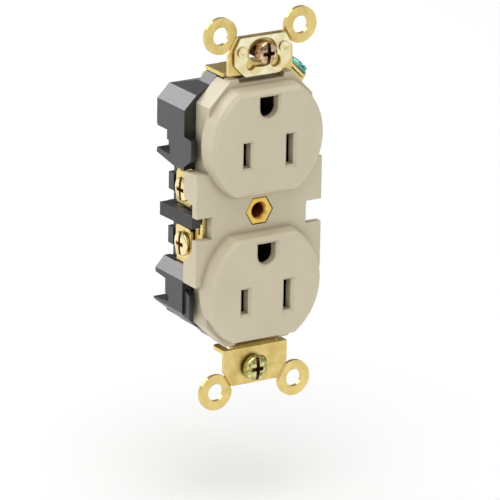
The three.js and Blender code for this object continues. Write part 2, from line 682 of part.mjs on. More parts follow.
function selfGroundClip() {
  const outline = roundedPolygon([[6.7, 46.4], [-6.7, 46.4], [-8.2, 43.4], [-8.2, 39.2],
    [-5.2, 36.1], [5.2, 36.1], [8.2, 39.2], [8.2, 43.4]], 0.5, 2);
  const plate = prism("xz", outline, CLIP.front, CLIP.back);
  const holes = [
    prism("xz", oval(...CLIP.opening), -4, 0),
    ...mirrorX((side) => rod("y", CLIP.lobe.radius,
      [side * CLIP.lobe.x + CLIP.lobe.shift, CLIP.lobe.z], -4, 0, 16)),
    ...CLIP.stakes.map(([x, z]) => rod("y", CLIP.stakeRadius + CLEARANCE, [x, z], -4, 0, 16)),
  ];
  return cut(plate, ...holes);
}

// ---------------------------------------------------------------- mounting screws

// Oval head with a cross recess and a slot, on a 6-32 shank.
function mountingScrew(seat, headRadius) {
  const { rim, dome, tip } = MOUNT_SCREW;
  const front = seat - rim;
  const domeProfile = arcPoints(0, 0, 1, 0, QUARTER_TURN, 5).slice(0, -1).reverse()
    .map(([c, s]) => [headRadius * c, front - dome * s]);
  const screw = turned("y", [[0, front - dome], ...domeProfile, [headRadius - 0.15, seat],
    [THREAD_R, seat], [THREAD_R, tip - 1.4], [1.2, tip], [0, tip]]);
  const top = front - dome;
  const cross = [0, QUARTER_TURN].map((turn) => {
    const geometry = new THREE.BoxGeometry(1.0, 2.6, 4.2);
    geometry.rotateY(turn);
    geometry.translate(0, top, 0);
    return solid(geometry);
  });
  const slot = block([-4, 4], [top - 1, top + 0.75], [-0.45, 0.45]);
  return cut(screw, ...cross, slot);
}

// Fibre washer that keeps a mounting screw from falling out of the strap.
function screwRetainer(w, h, tilt) {
  const corners = [[-w, -h], [w, -h], [w, h], [-w, h]].map(([x, z]) => [
    x * Math.cos(tilt) - z * Math.sin(tilt), x * Math.sin(tilt) + z * Math.cos(tilt)]);
  const washer = prism("xz", roundedPolygon(corners, 0.6), LOOSE, LOOSE + 0.8);
  return cut(washer, rod("y", THREAD_R + 0.05, [0, 0], -1, 3));
}

// ---------------------------------------------------------------- terminals and contacts

// Terminal strip: two plates bridged by the break-off fin, with an arm to each contact.
// The ends of the plates lie in the body's side blocks.
function terminalStrip(side) {
  const { inner, outer, front, back, notch, screwY, screwZ } = TERMINAL;
  const across = sided(side, inner, outer);
  const plates = [
    block(across, [front, back], [notch[1], 10.6]),
    block(across, [6.4, back], [10, 21.2]),
    block(across, [front, back], [-15.3, notch[0]]),
    block(across, [6.4, back], [-27.1, -15]),
  ];
  const fin = block(across, [front, 4.6], [notch[0] - 1, notch[1] + 1]);
  const slit = block(sided(side, inner - 1, outer + 1), [2.4, 3.1],
    [notch[0] + 0.3, notch[1] - 0.3]);
  const arms = SOCKET_Z.map((z) => {
    const bladeZ = z - BLADE_DROP;
    return block(sided(side, 8.6, outer), [back - 1.0, back], [bladeZ - 3.4, bladeZ + 3.4]);
  });
  const holes = screwZ.map((z) => rod("x", THREAD_R + LOOSE, [screwY, z],
    ...sided(side, inner - 1, outer + 1)));
  return cut(join(...plates, fin, ...arms), slit, ...holes);
}

// Spring contact for one blade: two leaves that close in on the blade, on a base plate
// whose foot lies on the strip's arm.
function bladeContact(side) {
  const leaf = (hand) => {
    const path = [[hand * 1.9, 5.6], [hand * 1.05, 7.4], [hand * 2.0, 11.2]];
    return prism("xy", bentSheet(path, 0.6, 1.2), -3.6, 3.6);
  };
  const base = block([-2.3, 2.3], [11.0, TERMINAL.back - 1.15], [-3.6, 3.6]);
  const foot = block(sided(side, 1.5, 5.5), [11.5, TERMINAL.back - 1.15], [-3.0, 3.0]);
  return join(...mirrorX(leaf), base, foot);
}

// Ground contact: a U of spring leaves on a base that is riveted to the strap.
function groundContact() {
  const leaf = (side) => {
    const path = [[side * 3.0, 7.0], [side * 2.4, 9.4], [side * 2.6, 17.6]];
    return prism("xy", bentSheet(path, 0.55, 1.0), -2.4, 2.4);
  };
  const base = block([-2.7, 2.7], [17.3, BODY.back], [-2.4, 2.4]);
  const hole = rod("y", GROUND_RIVET_R + CLEARANCE, [0, 0], 15, 20);
  return cut(join(leaf(1), leaf(-1), base), hole);
}

function groundRivet() {
  const strapBack = STRAP.backCentre + STRAP.thickness / 2;
  const profile = [[0, 16.4], [1.9, 16.4], [2.1, 17.2], [GROUND_RIVET_R, 17.2],
    [GROUND_RIVET_R, strapBack + CLEARANCE], [2.3, strapBack + CLEARANCE],
    [1.6, strapBack + 0.8], [0, strapBack + 0.9]];
  return turned("y", profile);
}

// Pressure plate under a terminal screw, ribbed to grip straight wires.
function wireClamp() {
  const [y0, y1] = CLAMP.y.map((y) => y - TERMINAL.screwY);
  const h = CLAMP.halfHeight;
  const outline = roundedPolygon([[y0, -h], [y1, -h], [y1, h], [y0, h]], 1.4);
  const plate = prism("yz", outline, LOOSE, LOOSE + CLAMP.thickness);
  return cut(plate, rod("x", THREAD_R + LOOSE, [0, 0], -1, 3));
}

// Domed screw with a combined slot and cross, built pointing outwards along +X.
function terminalScrew() {
  const { radius, rim, dome } = TERMINAL_HEAD;
  const seat = LOOSE + CLAMP.thickness + 0.1;
  const domeProfile = arcPoints(0, 0, 1, 0, QUARTER_TURN, 4).slice(0, -1)
    .map(([c, s]) => [radius * c, seat + rim + dome * s]);
  const top = seat + rim + dome;
  const screw = turned("x", [[0, -5.6], [1.2, -5.6], [THREAD_R, -4.6], [THREAD_R, seat],
    [radius, seat], ...domeProfile, [0, top]]);
  const slot = block([top - 0.8, top + 1], [-4, 4], [-0.45, 0.45]);
  const cross = block([top - 1.1, top + 1], [-0.45, 0.45], [-1.8, 1.8]);
  return cut(screw, slot, cross);
}

// ---------------------------------------------------------------- assembly

place("front_cover", frontCover(), "ivory");
place("rear_body", rearBody(), "black");
place("mounting_strap", mountingStrap(), "strap");
place("cover_screw_bush", coverScrewBush(), "bush");
place("self_ground_clip", selfGroundClip(), "strap");

for (const [end, [x, z, seat, radius]] of Object.entries(MOUNT_SCREW.places)) {
  const screw = place(`mounting_screw_${end}`, mountingScrew(seat, radius), "zincScrew");
  const retainer = place(`screw_retainer_${end}`, screwRetainer(...RETAINER[end]), "fibre");
  screw.position.set(x, 0, z);
  retainer.position.set(x, 0, z);
}

SOCKET_Z.forEach((z, i) => {
  const level = ["upper", "lower"][i];
  const bladeZ = z - BLADE_DROP;
  const contact = place(`ground_contact_${level}`, groundContact(), "contact");
  const rivet = place(`ground_rivet_${level}`, groundRivet(), "contact");
  contact.position.z = bladeZ + GROUND_RISE;
  rivet.position.z = bladeZ + GROUND_RISE;
});

const POLES = [["hot", -1, "brassScrew"], ["neutral", 1, "nickelScrew"]];
for (const [name, side, screwMaterial] of POLES) {
  place(`${name}_terminal`, terminalStrip(side), "contact");
  ["upper", "lower"].forEach((level, i) => {
    const contact = place(`${name}_contact_${level}`, bladeContact(side), "contact");
    contact.position.set((side * BLADE_SPACING) / 2, 0, SOCKET_Z[i] - BLADE_DROP);
    for (const [part, built, material] of [
      ["wire_clamp", wireClamp(), "contact"], ["terminal_screw", terminalScrew(), screwMaterial]]) {
      const placed = place(`${part}_${name}_${level}`, built, material);
      placed.position.set(side * TERMINAL.outer, TERMINAL.screwY, TERMINAL.screwZ[i]);
      placed.rotation.y = side > 0 ? 0 : HALF_TURN;
    }
  });
}

groundScrewGroup();

export default group;
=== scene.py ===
"""Duplex wall outlet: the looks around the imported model. Lengths below are in millimetres."""

import json
import math

import bmesh
import bpy
from mathutils import Matrix, Vector


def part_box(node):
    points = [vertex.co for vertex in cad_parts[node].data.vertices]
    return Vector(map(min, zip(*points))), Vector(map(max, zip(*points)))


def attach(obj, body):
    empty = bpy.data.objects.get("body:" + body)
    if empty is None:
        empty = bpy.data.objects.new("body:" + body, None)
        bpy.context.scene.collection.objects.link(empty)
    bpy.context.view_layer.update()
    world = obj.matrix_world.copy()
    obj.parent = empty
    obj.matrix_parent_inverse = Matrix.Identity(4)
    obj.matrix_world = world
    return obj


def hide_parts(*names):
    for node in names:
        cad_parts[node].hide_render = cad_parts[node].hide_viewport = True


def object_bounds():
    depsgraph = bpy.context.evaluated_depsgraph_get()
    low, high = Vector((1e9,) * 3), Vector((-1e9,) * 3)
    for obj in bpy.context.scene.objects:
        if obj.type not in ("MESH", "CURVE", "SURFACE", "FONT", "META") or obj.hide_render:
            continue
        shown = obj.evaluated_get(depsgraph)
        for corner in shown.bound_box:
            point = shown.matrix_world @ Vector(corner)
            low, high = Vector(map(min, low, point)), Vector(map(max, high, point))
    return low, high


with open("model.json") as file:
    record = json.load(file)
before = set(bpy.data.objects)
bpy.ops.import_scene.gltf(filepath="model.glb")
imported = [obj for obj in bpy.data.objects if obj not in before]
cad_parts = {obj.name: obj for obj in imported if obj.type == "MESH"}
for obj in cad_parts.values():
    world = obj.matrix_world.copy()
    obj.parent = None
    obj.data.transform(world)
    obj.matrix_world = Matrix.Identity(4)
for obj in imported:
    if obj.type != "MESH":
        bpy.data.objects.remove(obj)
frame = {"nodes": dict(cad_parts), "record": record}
CAD_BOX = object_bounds()

MM = 0.001

X_AXIS = Vector((1, 0, 0))
Y_AXIS = Vector((0, 1, 0))
Z_AXIS = Vector((0, 0, 1))

RECORD = frame["record"]
JOINTS = {row["name"]: row for row in RECORD["behaviour"]["joints"]}
SLOTS = {row["node"]: row["material_slot"] for row in RECORD["subparts"]}
BODIES = {node_name: body for body, names in RECORD["behaviour"]["bodies"].items()
          for node_name in names}
POLES = (("hot", -1), ("neutral", 1))   # name, and side along x
LEVELS = ("upper", "lower")

# nodes that a detailed piece stands for
REPLACED = {"mounting_screw_top", "mounting_screw_bottom", "ground_screw", "cover_screw_bush"}
REPLACED |= {f"terminal_screw_{pole}_{level}" for pole, side in POLES for level in LEVELS}

# ---------------------------------------------------------------- camera

CAMERA_TARGET = Vector((-1.584, 0.0, -10.777))
CAMERA_AZIMUTH = math.radians(32.149)
CAMERA_ELEVATION = math.radians(18.263)
CAMERA_ROLL = math.radians(0.967)
CAMERA_DISTANCE = 1252.3
CAMERA_LENS = 353.3
SENSOR_WIDTH = 36.0
CLIP_METRES = (0.05, 50.0)


def add_camera():
    az, el = CAMERA_AZIMUTH, CAMERA_ELEVATION
    back = Vector((-math.sin(az) * math.cos(el), -math.cos(az) * math.cos(el), math.sin(el)))
    right = (-back).cross(Z_AXIS).normalized()
    up = right.cross(-back).normalized()
    turned_right = right * math.cos(CAMERA_ROLL) + up * math.sin(CAMERA_ROLL)
    turned_up = up * math.cos(CAMERA_ROLL) - right * math.sin(CAMERA_ROLL)
    data = bpy.data.cameras.new("camera")
    data.lens = CAMERA_LENS
    data.sensor_width = SENSOR_WIDTH
    data.clip_start, data.clip_end = CLIP_METRES
    camera = bpy.data.objects.new("camera", data)
    bpy.context.scene.collection.objects.link(camera)
    basis = Matrix((turned_right, turned_up, back)).transposed().to_4x4()
    place = Matrix.Translation((CAMERA_TARGET + back * CAMERA_DISTANCE) * MM)
    camera.matrix_world = place @ basis
    bpy.context.scene.camera = camera


# ---------------------------------------------------------------- node helpers

def srgb(red, green, blue):
    """Linear colour of an 8-bit sRGB colour."""
    def linear(value):
        share = value / 255
        return share / 12.92 if share <= 0.04045 else ((share + 0.055) / 1.055) ** 2.4
    return (linear(red), linear(green), linear(blue), 1.0)


def connect(tree, socket, value):
    """Links a socket to another socket, or sets it to a plain value."""
    if isinstance(value, bpy.types.NodeSocket):
        tree.links.new(value, socket)
    else:
        socket.default_value = value


def node(tree, kind, inputs=None, **settings):
    made = tree.nodes.new(kind)
    for name, value in settings.items():
        setattr(made, name, value)
    for name, value in (inputs or {}).items():
        connect(tree, made.inputs[name], value)
    return made


def base_material(name):
    """A new material with its tree, its shader and the object's own coordinates."""
    made = bpy.data.materials.new(name)
    made.use_nodes = True
    tree = made.node_tree
    shader = tree.nodes["Principled BSDF"]
    coordinates = node(tree, "ShaderNodeTexCoord").outputs["Object"]
    return made, tree, shader, coordinates


def noise(tree, coordinates, size, detail=3.0, stretch=(1, 1, 1)):
    """Noise whose lumps measure about size millimetres."""
    scale = 1 / (size * MM)
    mapping = node(tree, "ShaderNodeMapping",
                   {"Vector": coordinates, "Scale": [scale * s for s in stretch]})
    return node(tree, "ShaderNodeTexNoise",
                {"Vector": mapping.outputs[0], "Scale": 1.0, "Detail": detail}).outputs["Fac"]


def ramp(tree, factor, low, high, start=0.3, end=0.7):
    """Colour that runs from low to high as the factor goes from start to end."""
    made = node(tree, "ShaderNodeValToRGB", {"Fac": factor})
    stops = made.color_ramp.elements
    stops[0].position, stops[0].color = start, low
    stops[1].position, stops[1].color = end, high
    return made.outputs["Color"]


def spread(tree, factor, low, high, start=0.3, end=0.7):
    """Number that runs from low to high as the factor goes from start to end."""
    return node(tree, "ShaderNodeMapRange", {
        "Value": factor, "From Min": start, "From Max": end, "To Min": low, "To Max": high,
    }).outputs["Result"]


def bump(tree, shader, *layers):
    """Layers are (height, depth in millimetres), stacked."""
    normal = None
    for height, depth in layers:
        made = node(tree, "ShaderNodeBump", {"Height": height, "Strength": 1.0,
                                             "Distance": depth * MM})
        if normal is not None:
            tree.links.new(normal, made.inputs["Normal"])
        normal = made.outputs["Normal"]
    tree.links.new(normal, shader.inputs["Normal"])


def mixed(tree, kind, factor, first, second):
    """Mix of two colours or two numbers by a factor."""
    made = node(tree, "ShaderNodeMix", data_type=kind)
    sockets = [socket for socket in made.inputs if socket.enabled]
    for socket, value in zip(sockets, (factor, first, second)):
        connect(tree, socket, value)
    return [socket for socket in made.outputs if socket.enabled][0]


def calculate(tree, operation, *values):
    made = node(tree, "ShaderNodeMath", operation=operation)
    for socket, value in zip(made.inputs, values):
        connect(tree, socket, value)
    return made.outputs[0]


# ---------------------------------------------------------------- materials

PAINTED_SHADE_REACH = 2.2            # how far from an inner corner the painted shade reaches
PAINTED_SHADE_SHARE = 0.6            # brightness of the painted shade against the dark tone of its plastic
PAINTED_SHADE_OPENNESS = (0.35, 0.95)     # open share where the painted shade is full, and where it ends
PAINTED_SHADE_SAMPLES = 8
BLOTCH_BUMP_SHARE = 0.8      # height of a plastic's blotches against its grain
WORN_GAIN = 1.12             # brightness of worn edges against the light tone of their metal
WORN_SHARE = 0.35            # how much of a worn edge is bare
WORN_POINTINESS = (0.52, 0.6)     # where the wear starts, and where it is full


def plastic(name, dark, light, roughness, grain, depth, blotch=9.0, specular=0.5):
    """Moulded plastic: faint blotches, fine eroded grain, and painted shade that darkens the
    inner corners.
    """
    made, tree, shader, place = base_material(name)
    cloud = noise(tree, place, blotch, detail=2.0)
    fine = noise(tree, place, grain, detail=4.0)
    # ambient occlusion darkens the colour in the inner corners: painted shade
    open_share = node(tree, "ShaderNodeAmbientOcclusion", {"Distance": PAINTED_SHADE_REACH * MM},
                      samples=PAINTED_SHADE_SAMPLES).outputs["AO"]
    painted_shade = tuple(PAINTED_SHADE_SHARE * channel for channel in dark[:3]) + (1,)
    unshaded_share = spread(tree, open_share, 0.0, 1.0, *PAINTED_SHADE_OPENNESS)
    colour = mixed(tree, "RGBA", unshaded_share, painted_shade, ramp(tree, cloud, dark, light))
    tree.links.new(colour, shader.inputs["Base Color"])
    tree.links.new(spread(tree, fine, *roughness), shader.inputs["Roughness"])
    bump(tree, shader, (cloud, depth * BLOTCH_BUMP_SHARE), (fine, depth))
    shader.inputs["Specular IOR Level"].default_value = specular
    return made


def metal(name, dark, light, roughness, streak=(1, 1, 1), grain=0.35, depth=0.004, blotch=4.0,
          contrast=(0.3, 0.7)):
    """Rolled or plated metal: tarnish clouds, worn bright edges and fine rolling marks."""
    made, tree, shader, place = base_material(name)
    cloud = noise(tree, place, blotch, detail=4.0)
    marks = noise(tree, place, grain, detail=3.0, stretch=streak)
    tarnished = ramp(tree, cloud, dark, light, *contrast)
    edge = node(tree, "ShaderNodeNewGeometry").outputs["Pointiness"]
    bright = tuple(min(1.0, WORN_GAIN * channel) for channel in light)
    bare = spread(tree, edge, 0.0, WORN_SHARE, *WORN_POINTINESS)
    tree.links.new(mixed(tree, "RGBA", bare, tarnished, bright), shader.inputs["Base Color"])
    tree.links.new(spread(tree, marks, *roughness), shader.inputs["Roughness"])
    bump(tree, shader, (marks, depth), (cloud, depth))
    shader.inputs["Metallic"].default_value = 1.0
    return made


def region(tree, x_range, y_range, z_ranges):
    """1 inside the given ranges of |x|, y and any of the z ranges, in millimetres, else 0."""
    place = node(tree, "ShaderNodeTexCoord").outputs["Object"]
    axes = node(tree, "ShaderNodeSeparateXYZ", {"Vector": place}).outputs

    def between(value, low, high):
        return calculate(tree, "MULTIPLY", calculate(tree, "GREATER_THAN", value, low * MM),
                         calculate(tree, "LESS_THAN", value, high * MM))
    inside = calculate(tree, "MULTIPLY",
                       between(calculate(tree, "ABSOLUTE", axes["X"]), *x_range),
                       between(axes["Y"], *y_range))
    levels = None
    for z_range in z_ranges:
        level = between(axes["Z"], *z_range)
        levels = level if levels is None else calculate(tree, "MAXIMUM", levels, level)
    return calculate(tree, "MULTIPLY", inside, levels)


def patch(made, colour, roughness, *ranges):
    """Gives one region of a material another colour and roughness."""
    tree = made.node_tree
    shader = tree.nodes["Principled BSDF"]
    mask = region(tree, *ranges)
    for name, kind, value in (("Base Color", "RGBA", colour), ("Roughness", "FLOAT", roughness)):
        socket = shader.inputs[name]
        source = socket.links[0].from_socket
        tree.links.new(mixed(tree, kind, mask, source, value), socket)
    return made


# one material for each material slot of the record
MATERIALS = {
    "ivory": plastic("ivory_plastic", dark=(0.615, 0.545, 0.395, 1),
                     light=(0.645, 0.575, 0.420, 1), roughness=(0.4, 0.52),
                     grain=0.25, depth=0.004),
    "black": plastic("black_plastic", dark=srgb(17, 16, 17), light=srgb(25, 24, 24),
                     roughness=(0.3, 0.42), grain=0.3, depth=0.008, specular=0.95),
    "strap": metal("strap_brass", dark=(0.66, 0.49, 0.16, 1), light=(0.86, 0.68, 0.28, 1),
                   roughness=(0.3, 0.44), streak=(0.12, 1, 1), depth=0.006, blotch=3.0),
    "clip": metal("clip_brass", dark=(0.84, 0.69, 0.34, 1), light=(0.99, 0.94, 0.66, 1),
                  roughness=(0.26, 0.4), blotch=3.0, contrast=(0.36, 0.62)),
    "bush": metal("bush_brass", dark=(0.76, 0.50, 0.11, 1), light=(0.86, 0.62, 0.17, 1),
                  roughness=(0.2, 0.3)),
    "contact": metal("contact_brass", dark=(0.74, 0.56, 0.22, 1), light=(0.88, 0.70, 0.32, 1),
                     roughness=(0.22, 0.36)),
    "nickel": metal("nickel_plate", dark=srgb(196, 193, 184), light=srgb(214, 211, 203),
                    roughness=(0.2, 0.32)),
    "screw_brass": metal("brass_plate", dark=(0.82, 0.68, 0.30, 1), light=(0.95, 0.84, 0.50, 1),
                         roughness=(0.16, 0.3)),
    "screw_nickel": metal("nickel_screw_plate", dark=srgb(200, 198, 192),
                          light=srgb(220, 218, 212), roughness=(0.16, 0.3)),
    "bronze": metal("bronze_plate", dark=(0.20, 0.085, 0.045, 1), light=(0.80, 0.62, 0.38, 1),
                    roughness=(0.12, 0.24), blotch=1.3, contrast=(0.38, 0.6)),
    "zinc": metal("zinc_plate", dark=(0.22, 0.22, 0.05, 1), light=(0.80, 0.74, 0.34, 1),
                  roughness=(0.12, 0.24), blotch=1.1, contrast=(0.38, 0.62)),
    "green": metal("green_plate", dark=(0.04, 0.26, 0.20, 1), light=(0.30, 0.66, 0.54, 1),
                   roughness=(0.16, 0.3), blotch=1.4, contrast=(0.38, 0.62)),
    "fibre": plastic("fibre", dark=srgb(110, 54, 34), light=srgb(138, 72, 46),
                     roughness=(0.7, 0.9), grain=0.4, depth=0.03, blotch=1.2),
}

# each region is a range of |x|, a range of y and one or more ranges of z
FIN = ((16.0, 19), (-1, 17), ((-3.3, 1.0),))
BLADE_CHAMBERS = ((3.8, 12.7), (-3.25, 6), ((11.0, 22.0), (-27.9, -16.9)))
GROUND_CHAMBERS = ((-1, 3.6), (-3.25, 6), ((24.6, 32.2), (-14.3, -6.7)))
FIN_COLOUR, FIN_ROUGHNESS = srgb(30, 29, 30), 0.6
# dark colour painted into the chambers as shade, and their roughness
PAINTED_CHAMBER_SHADE, CHAMBER_ROUGHNESS = srgb(26, 20, 15), 0.8

# the fin between the terminal screws has a rougher finish than the rest of the black body
patch(MATERIALS["black"], FIN_COLOUR, FIN_ROUGHNESS, *FIN)
# the chambers behind the blade slots and the ground holes get painted shade: a dark colour on
# the ivory inside them
patch(MATERIALS["ivory"], PAINTED_CHAMBER_SHADE, CHAMBER_ROUGHNESS, *BLADE_CHAMBERS)
patch(MATERIALS["ivory"], PAINTED_CHAMBER_SHADE, CHAMBER_ROUGHNESS, *GROUND_CHAMBERS)

# the screws' recesses and the bush's thread are duller than the metal around them, and painted
# darker as shade
PAINTED_RECESS_SHADES = {
    "bronze": metal("bronze_recess_shade", dark=(0.07, 0.02, 0.012, 1), light=(0.22, 0.09, 0.05, 1),
                    roughness=(0.4, 0.6)),
    "zinc": metal("zinc_recess_shade", dark=(0.08, 0.03, 0.015, 1), light=(0.30, 0.15, 0.06, 1),
                  roughness=(0.4, 0.6)),
    "screw_brass": metal("brass_recess_shade", dark=(0.22, 0.10, 0.03, 1),
                         light=(0.50, 0.30, 0.10, 1), roughness=(0.35, 0.55)),
    "screw_nickel": metal("nickel_recess_shade", dark=(0.16, 0.15, 0.14, 1),
                          light=(0.35, 0.34, 0.32, 1), roughness=(0.35, 0.55)),
    "green": metal("green_recess_shade", dark=(0.02, 0.12, 0.10, 1), light=(0.08, 0.26, 0.21, 1),
                   roughness=(0.35, 0.5)),
    "bush": metal("bush_thread_shade", dark=(0.30, 0.10, 0.03, 1), light=(0.55, 0.26, 0.07, 1),
                  roughness=(0.25, 0.4)),
}

# ---------------------------------------------------------------- rounded edges

SOFT_WIDTHS = {"front_cover": 0.2, "rear_body": 0.28, "mounting_strap": 0.1,
               "self_ground_clip": 0.12}
OTHER_SOFT_WIDTH = 0.15
KEEPS_ITS_FACES = "mounting_strap"   # joining its flat faces spoils the bevel at the ears
WELD_GAP = 0.002
FLAT_ANGLE = 0.6                     # degrees: faces this close to flat are joined
SOFT_ANGLE = 32                      # degrees: sharper edges are rounded


def soften(piece, width, segments=3, angle=SOFT_ANGLE, dissolve=True):
    """Rounds a piece's sharp edges with modifiers, which leave its own mesh as it is."""
    weld = piece.modifiers.new("weld", "WELD")
    weld.merge_threshold = WELD_GAP * MM
    if dissolve:
        flat = piece.modifiers.new("flat", "DECIMATE")
        flat.decimate_type = "DISSOLVE"
        flat.angle_limit = math.radians(FLAT_ANGLE)
    bevel = piece.modifiers.new("bevel", "BEVEL")
    bevel.width = width * MM
    bevel.segments = segments
    bevel.limit_method = "ANGLE"
    bevel.angle_limit = math.radians(angle)
    bevel.harden_normals = True
    bevel.miter_outer = "MITER_ARC"


def dress_nodes():
    """Gives each CAD node its material, and rounded edges where it stays in view."""
    for name, piece in frame["nodes"].items():
        piece.data.materials.clear()
        piece.data.materials.append(MATERIALS[SLOTS[name]])
        if name not in REPLACED:
            soften(piece, SOFT_WIDTHS.get(name, OTHER_SOFT_WIDTH),
                   dissolve=name != KEEPS_ITS_FACES)


# ---------------------------------------------------------------- building surfaces

FACETS = 36
PITCH = 25.4 / 32          # 32 threads per inch
RINGS_PER_TURN = 6
TIP_SHARE = 0.6            # radius of a thread's tip against its full radius
JOIN_STEP = 0.02           # step in height where two profiles of a skin meet
CUT_CLEARANCE = 1.0        # how far a cutter stands out above the head that it cuts


def around(radius_at, height):
    """One ring of points: its radius is a number or a function of the angle."""
    ring = []
    for k in range(FACETS):
        angle = 2 * math.pi * k / FACETS
        radius = radius_at(angle) if callable(radius_at) else radius_at
        ring.append((radius * math.cos(angle), radius * math.sin(angle), height))
    return ring


def hexagon(apothem):
    """Radius of a hexagon as a function of the angle."""
    def radius_at(angle):
        sixth = math.pi / 3
        return apothem / math.cos((angle % sixth) - sixth / 2)
    return radius_at


def thread(radius, depth, start, end, point=0.0):
    """Rings of a helical thread along z. Over the length of its point it widens from the tip."""
    count = max(2, round(abs(end - start) / PITCH * RINGS_PER_TURN))
    rings = []
    for i in range(count + 1):
        height = start + (end - start) * i / count
        share = 1.0
        if point:
            share = min(1.0, TIP_SHARE + (1 - TIP_SHARE) * abs(height - start) / point)

        def radius_at(angle, height=height, share=share):
            phase = (height / PITCH - angle / (2 * math.pi)) % 1.0
            return (radius - depth * abs(2 * phase - 1)) * share
        rings.append(around(radius_at, height))
    return rings


def skin(name, rings, closed=False):
    """Surface over rings of equal length: capped at both ends, or joined last to first."""
    mesh = bpy.data.meshes.new(name)
    vertices = [Vector(point) * MM for ring in rings for point in ring]
    count = len(rings)
    size = len(rings[0])
    faces = []
    for i in range(count if closed else count - 1):
        low, high = i * size, ((i + 1) % count) * size
        faces += [(low + k, low + (k + 1) % size, high + (k + 1) % size, high + k)
                  for k in range(size)]
    if not closed:
        faces += [tuple(reversed(range(size))), tuple(range((count - 1) * size, count * size))]
    mesh.from_pydata(vertices, [], faces)
    mesh.update()
    work = bmesh.new()
    work.from_mesh(mesh)
    bmesh.ops.recalc_face_normals(work, faces=work.faces)
    work.to_mesh(mesh)
    work.free()
    piece = bpy.data.objects.new(name, mesh)
    bpy.context.scene.collection.objects.link(piece)
    return piece


def wedge(size_x, size_y, low, high, narrow):
    """Cutter for a recess: a bar that narrows towards its lower end."""
    def level(share, height):
        x, y = size_x / 2 * share, size_y / 2 * share
        return [(-x, -y, height), (x, -y, height), (x, y, height), (-x, y, height)]
    return skin("cutter", [level(narrow, low), level(1.0, high)])


def carve(piece, cutters):
    """Cuts recesses, whose faces take the piece's second material, then drops the cutters."""
    piece.data.materials.append(None)
    piece.data.materials.append(None)
    for cutter in cutters:
        cutter.data.materials.append(None)
        cutter.data.materials.append(None)
        for polygon in cutter.data.polygons:
            polygon.material_index = 1
        boolean = piece.modifiers.new("carve", "BOOLEAN")
        boolean.object = cutter
        boolean.operation = "DIFFERENCE"
        boolean.solver = "EXACT"
    bpy.context.view_layer.update()
    shaped = piece.evaluated_get(bpy.context.evaluated_depsgraph_get())
    mesh = bpy.data.meshes.new_from_object(shaped)
    piece.modifiers.clear()
    piece.data = mesh
    for cutter in cutters:
        bpy.data.objects.remove(cutter)


def set_down(piece, basis, origin):
    """Turns a piece built round +Z to the given axes, and moves it to its origin in metres."""
    turned = Matrix(basis).transposed().to_4x4()
    piece.data.transform(Matrix.Translation(Vector(origin)) @ turned)


DETAIL_SOFTNESS = {"width": 0.07, "segments": 2, "angle": 38}


def stand_for(piece, node_name, basis, origin):
    """Puts a piece where the CAD node is, and lets it take the node's place."""
    set_down(piece, basis, origin)
    indices = [polygon.material_index for polygon in piece.data.polygons]
    piece.data.materials.clear()
    piece.data.materials.append(MATERIALS[SLOTS[node_name]])
    # the second material paints shade into the recesses
    piece.data.materials.append(PAINTED_RECESS_SHADES[SLOTS[node_name]])
    for polygon, index in zip(piece.data.polygons, indices):
        polygon.material_index = index
    soften(piece, **DETAIL_SOFTNESS)
    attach(piece, BODIES[node_name])
    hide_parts(node_name)


# ---------------------------------------------------------------- screws

FORWARD = (X_AXIS, Z_AXIS, -Y_AXIS)    # axes of a piece that faces the front
HEAD_EDGE_INSET, HEAD_EDGE_RISE = 0.12, 0.14
HEAD_CROWN_RADIUS = 0.25
HEAD_STEPS = 6
SHANK_RADIUS = 1.75
THREAD_DEPTH = 0.22
POINT_LENGTH = 1.2
CROSS_WIDTH, CROSS_TAPER = 1.25, 0.6
CROSS_OFFSET = 0.01        # keeps the floors of the two arms out of one plane
SLOT_WIDTH, SLOT_OVERRUN = 1.0, 2.0

MOUNT_HEADS = {"top": (2.3, 3.05), "bottom": (1.7, 3.4)}    # seat height and head radius
MOUNT_TIP = -8.0
MOUNT_RIM, MOUNT_RISE = 0.8, 1.3
MOUNT_RECESS = (4.0, 1.7, 0.8)         # length of the cross, its depth, depth of the slot

TERMINAL_SEAT, TERMINAL_TIP = 1.15, -5.6
TERMINAL_HEAD = (3.2, 0.75, 0.65)      # radius, rim, rise
TERMINAL_RECESS = (4.2, 1.25, 0.75)


def dome(radius, seat, rim, rise):
    """Rings of a screw head: flat below, a short rim, and an oval top."""
    rings = [around(radius - HEAD_EDGE_INSET, seat), around(radius, seat + HEAD_EDGE_RISE),
             around(radius, seat + rim)]
    for i in range(1, HEAD_STEPS):
        angle = math.pi / 2 * i / HEAD_STEPS
        rings.append(around(radius * math.cos(angle), seat + rim + rise * math.sin(angle)))
    rings.append(around(HEAD_CROWN_RADIUS, seat + rim + rise))
    return rings


def screw(name, tip, seat, head, recess):
    """Threaded shank below an oval head with a cross and a slot cut across it."""
    radius, rim, rise = head
    length, depth, slot_depth = recess
    rings = thread(SHANK_RADIUS, THREAD_DEPTH, tip, seat - JOIN_STEP, point=POINT_LENGTH)
    piece = skin(name, rings + dome(radius, seat, rim, rise))
    top = seat + rim + rise
    above = top + CUT_CLEARANCE
    carve(piece, [
        wedge(CROSS_WIDTH, length, top - depth, above, CROSS_TAPER),
        wedge(length, CROSS_WIDTH, top - depth - CROSS_OFFSET, above, CROSS_TAPER),
        wedge(SLOT_WIDTH, 2 * radius + SLOT_OVERRUN, top - slot_depth, above, 1.0)])
    return piece


def add_mounting_screws():
    for end, (seat, radius) in MOUNT_HEADS.items():
        piece = screw(f"mount_screw_{end}_detail", MOUNT_TIP, seat,
                      (radius, MOUNT_RIM, MOUNT_RISE), MOUNT_RECESS)
        origin = JOINTS[f"mount_screw_{end}_turn"]["pos_m"]
        stand_for(piece, f"mounting_screw_{end}", FORWARD, origin)


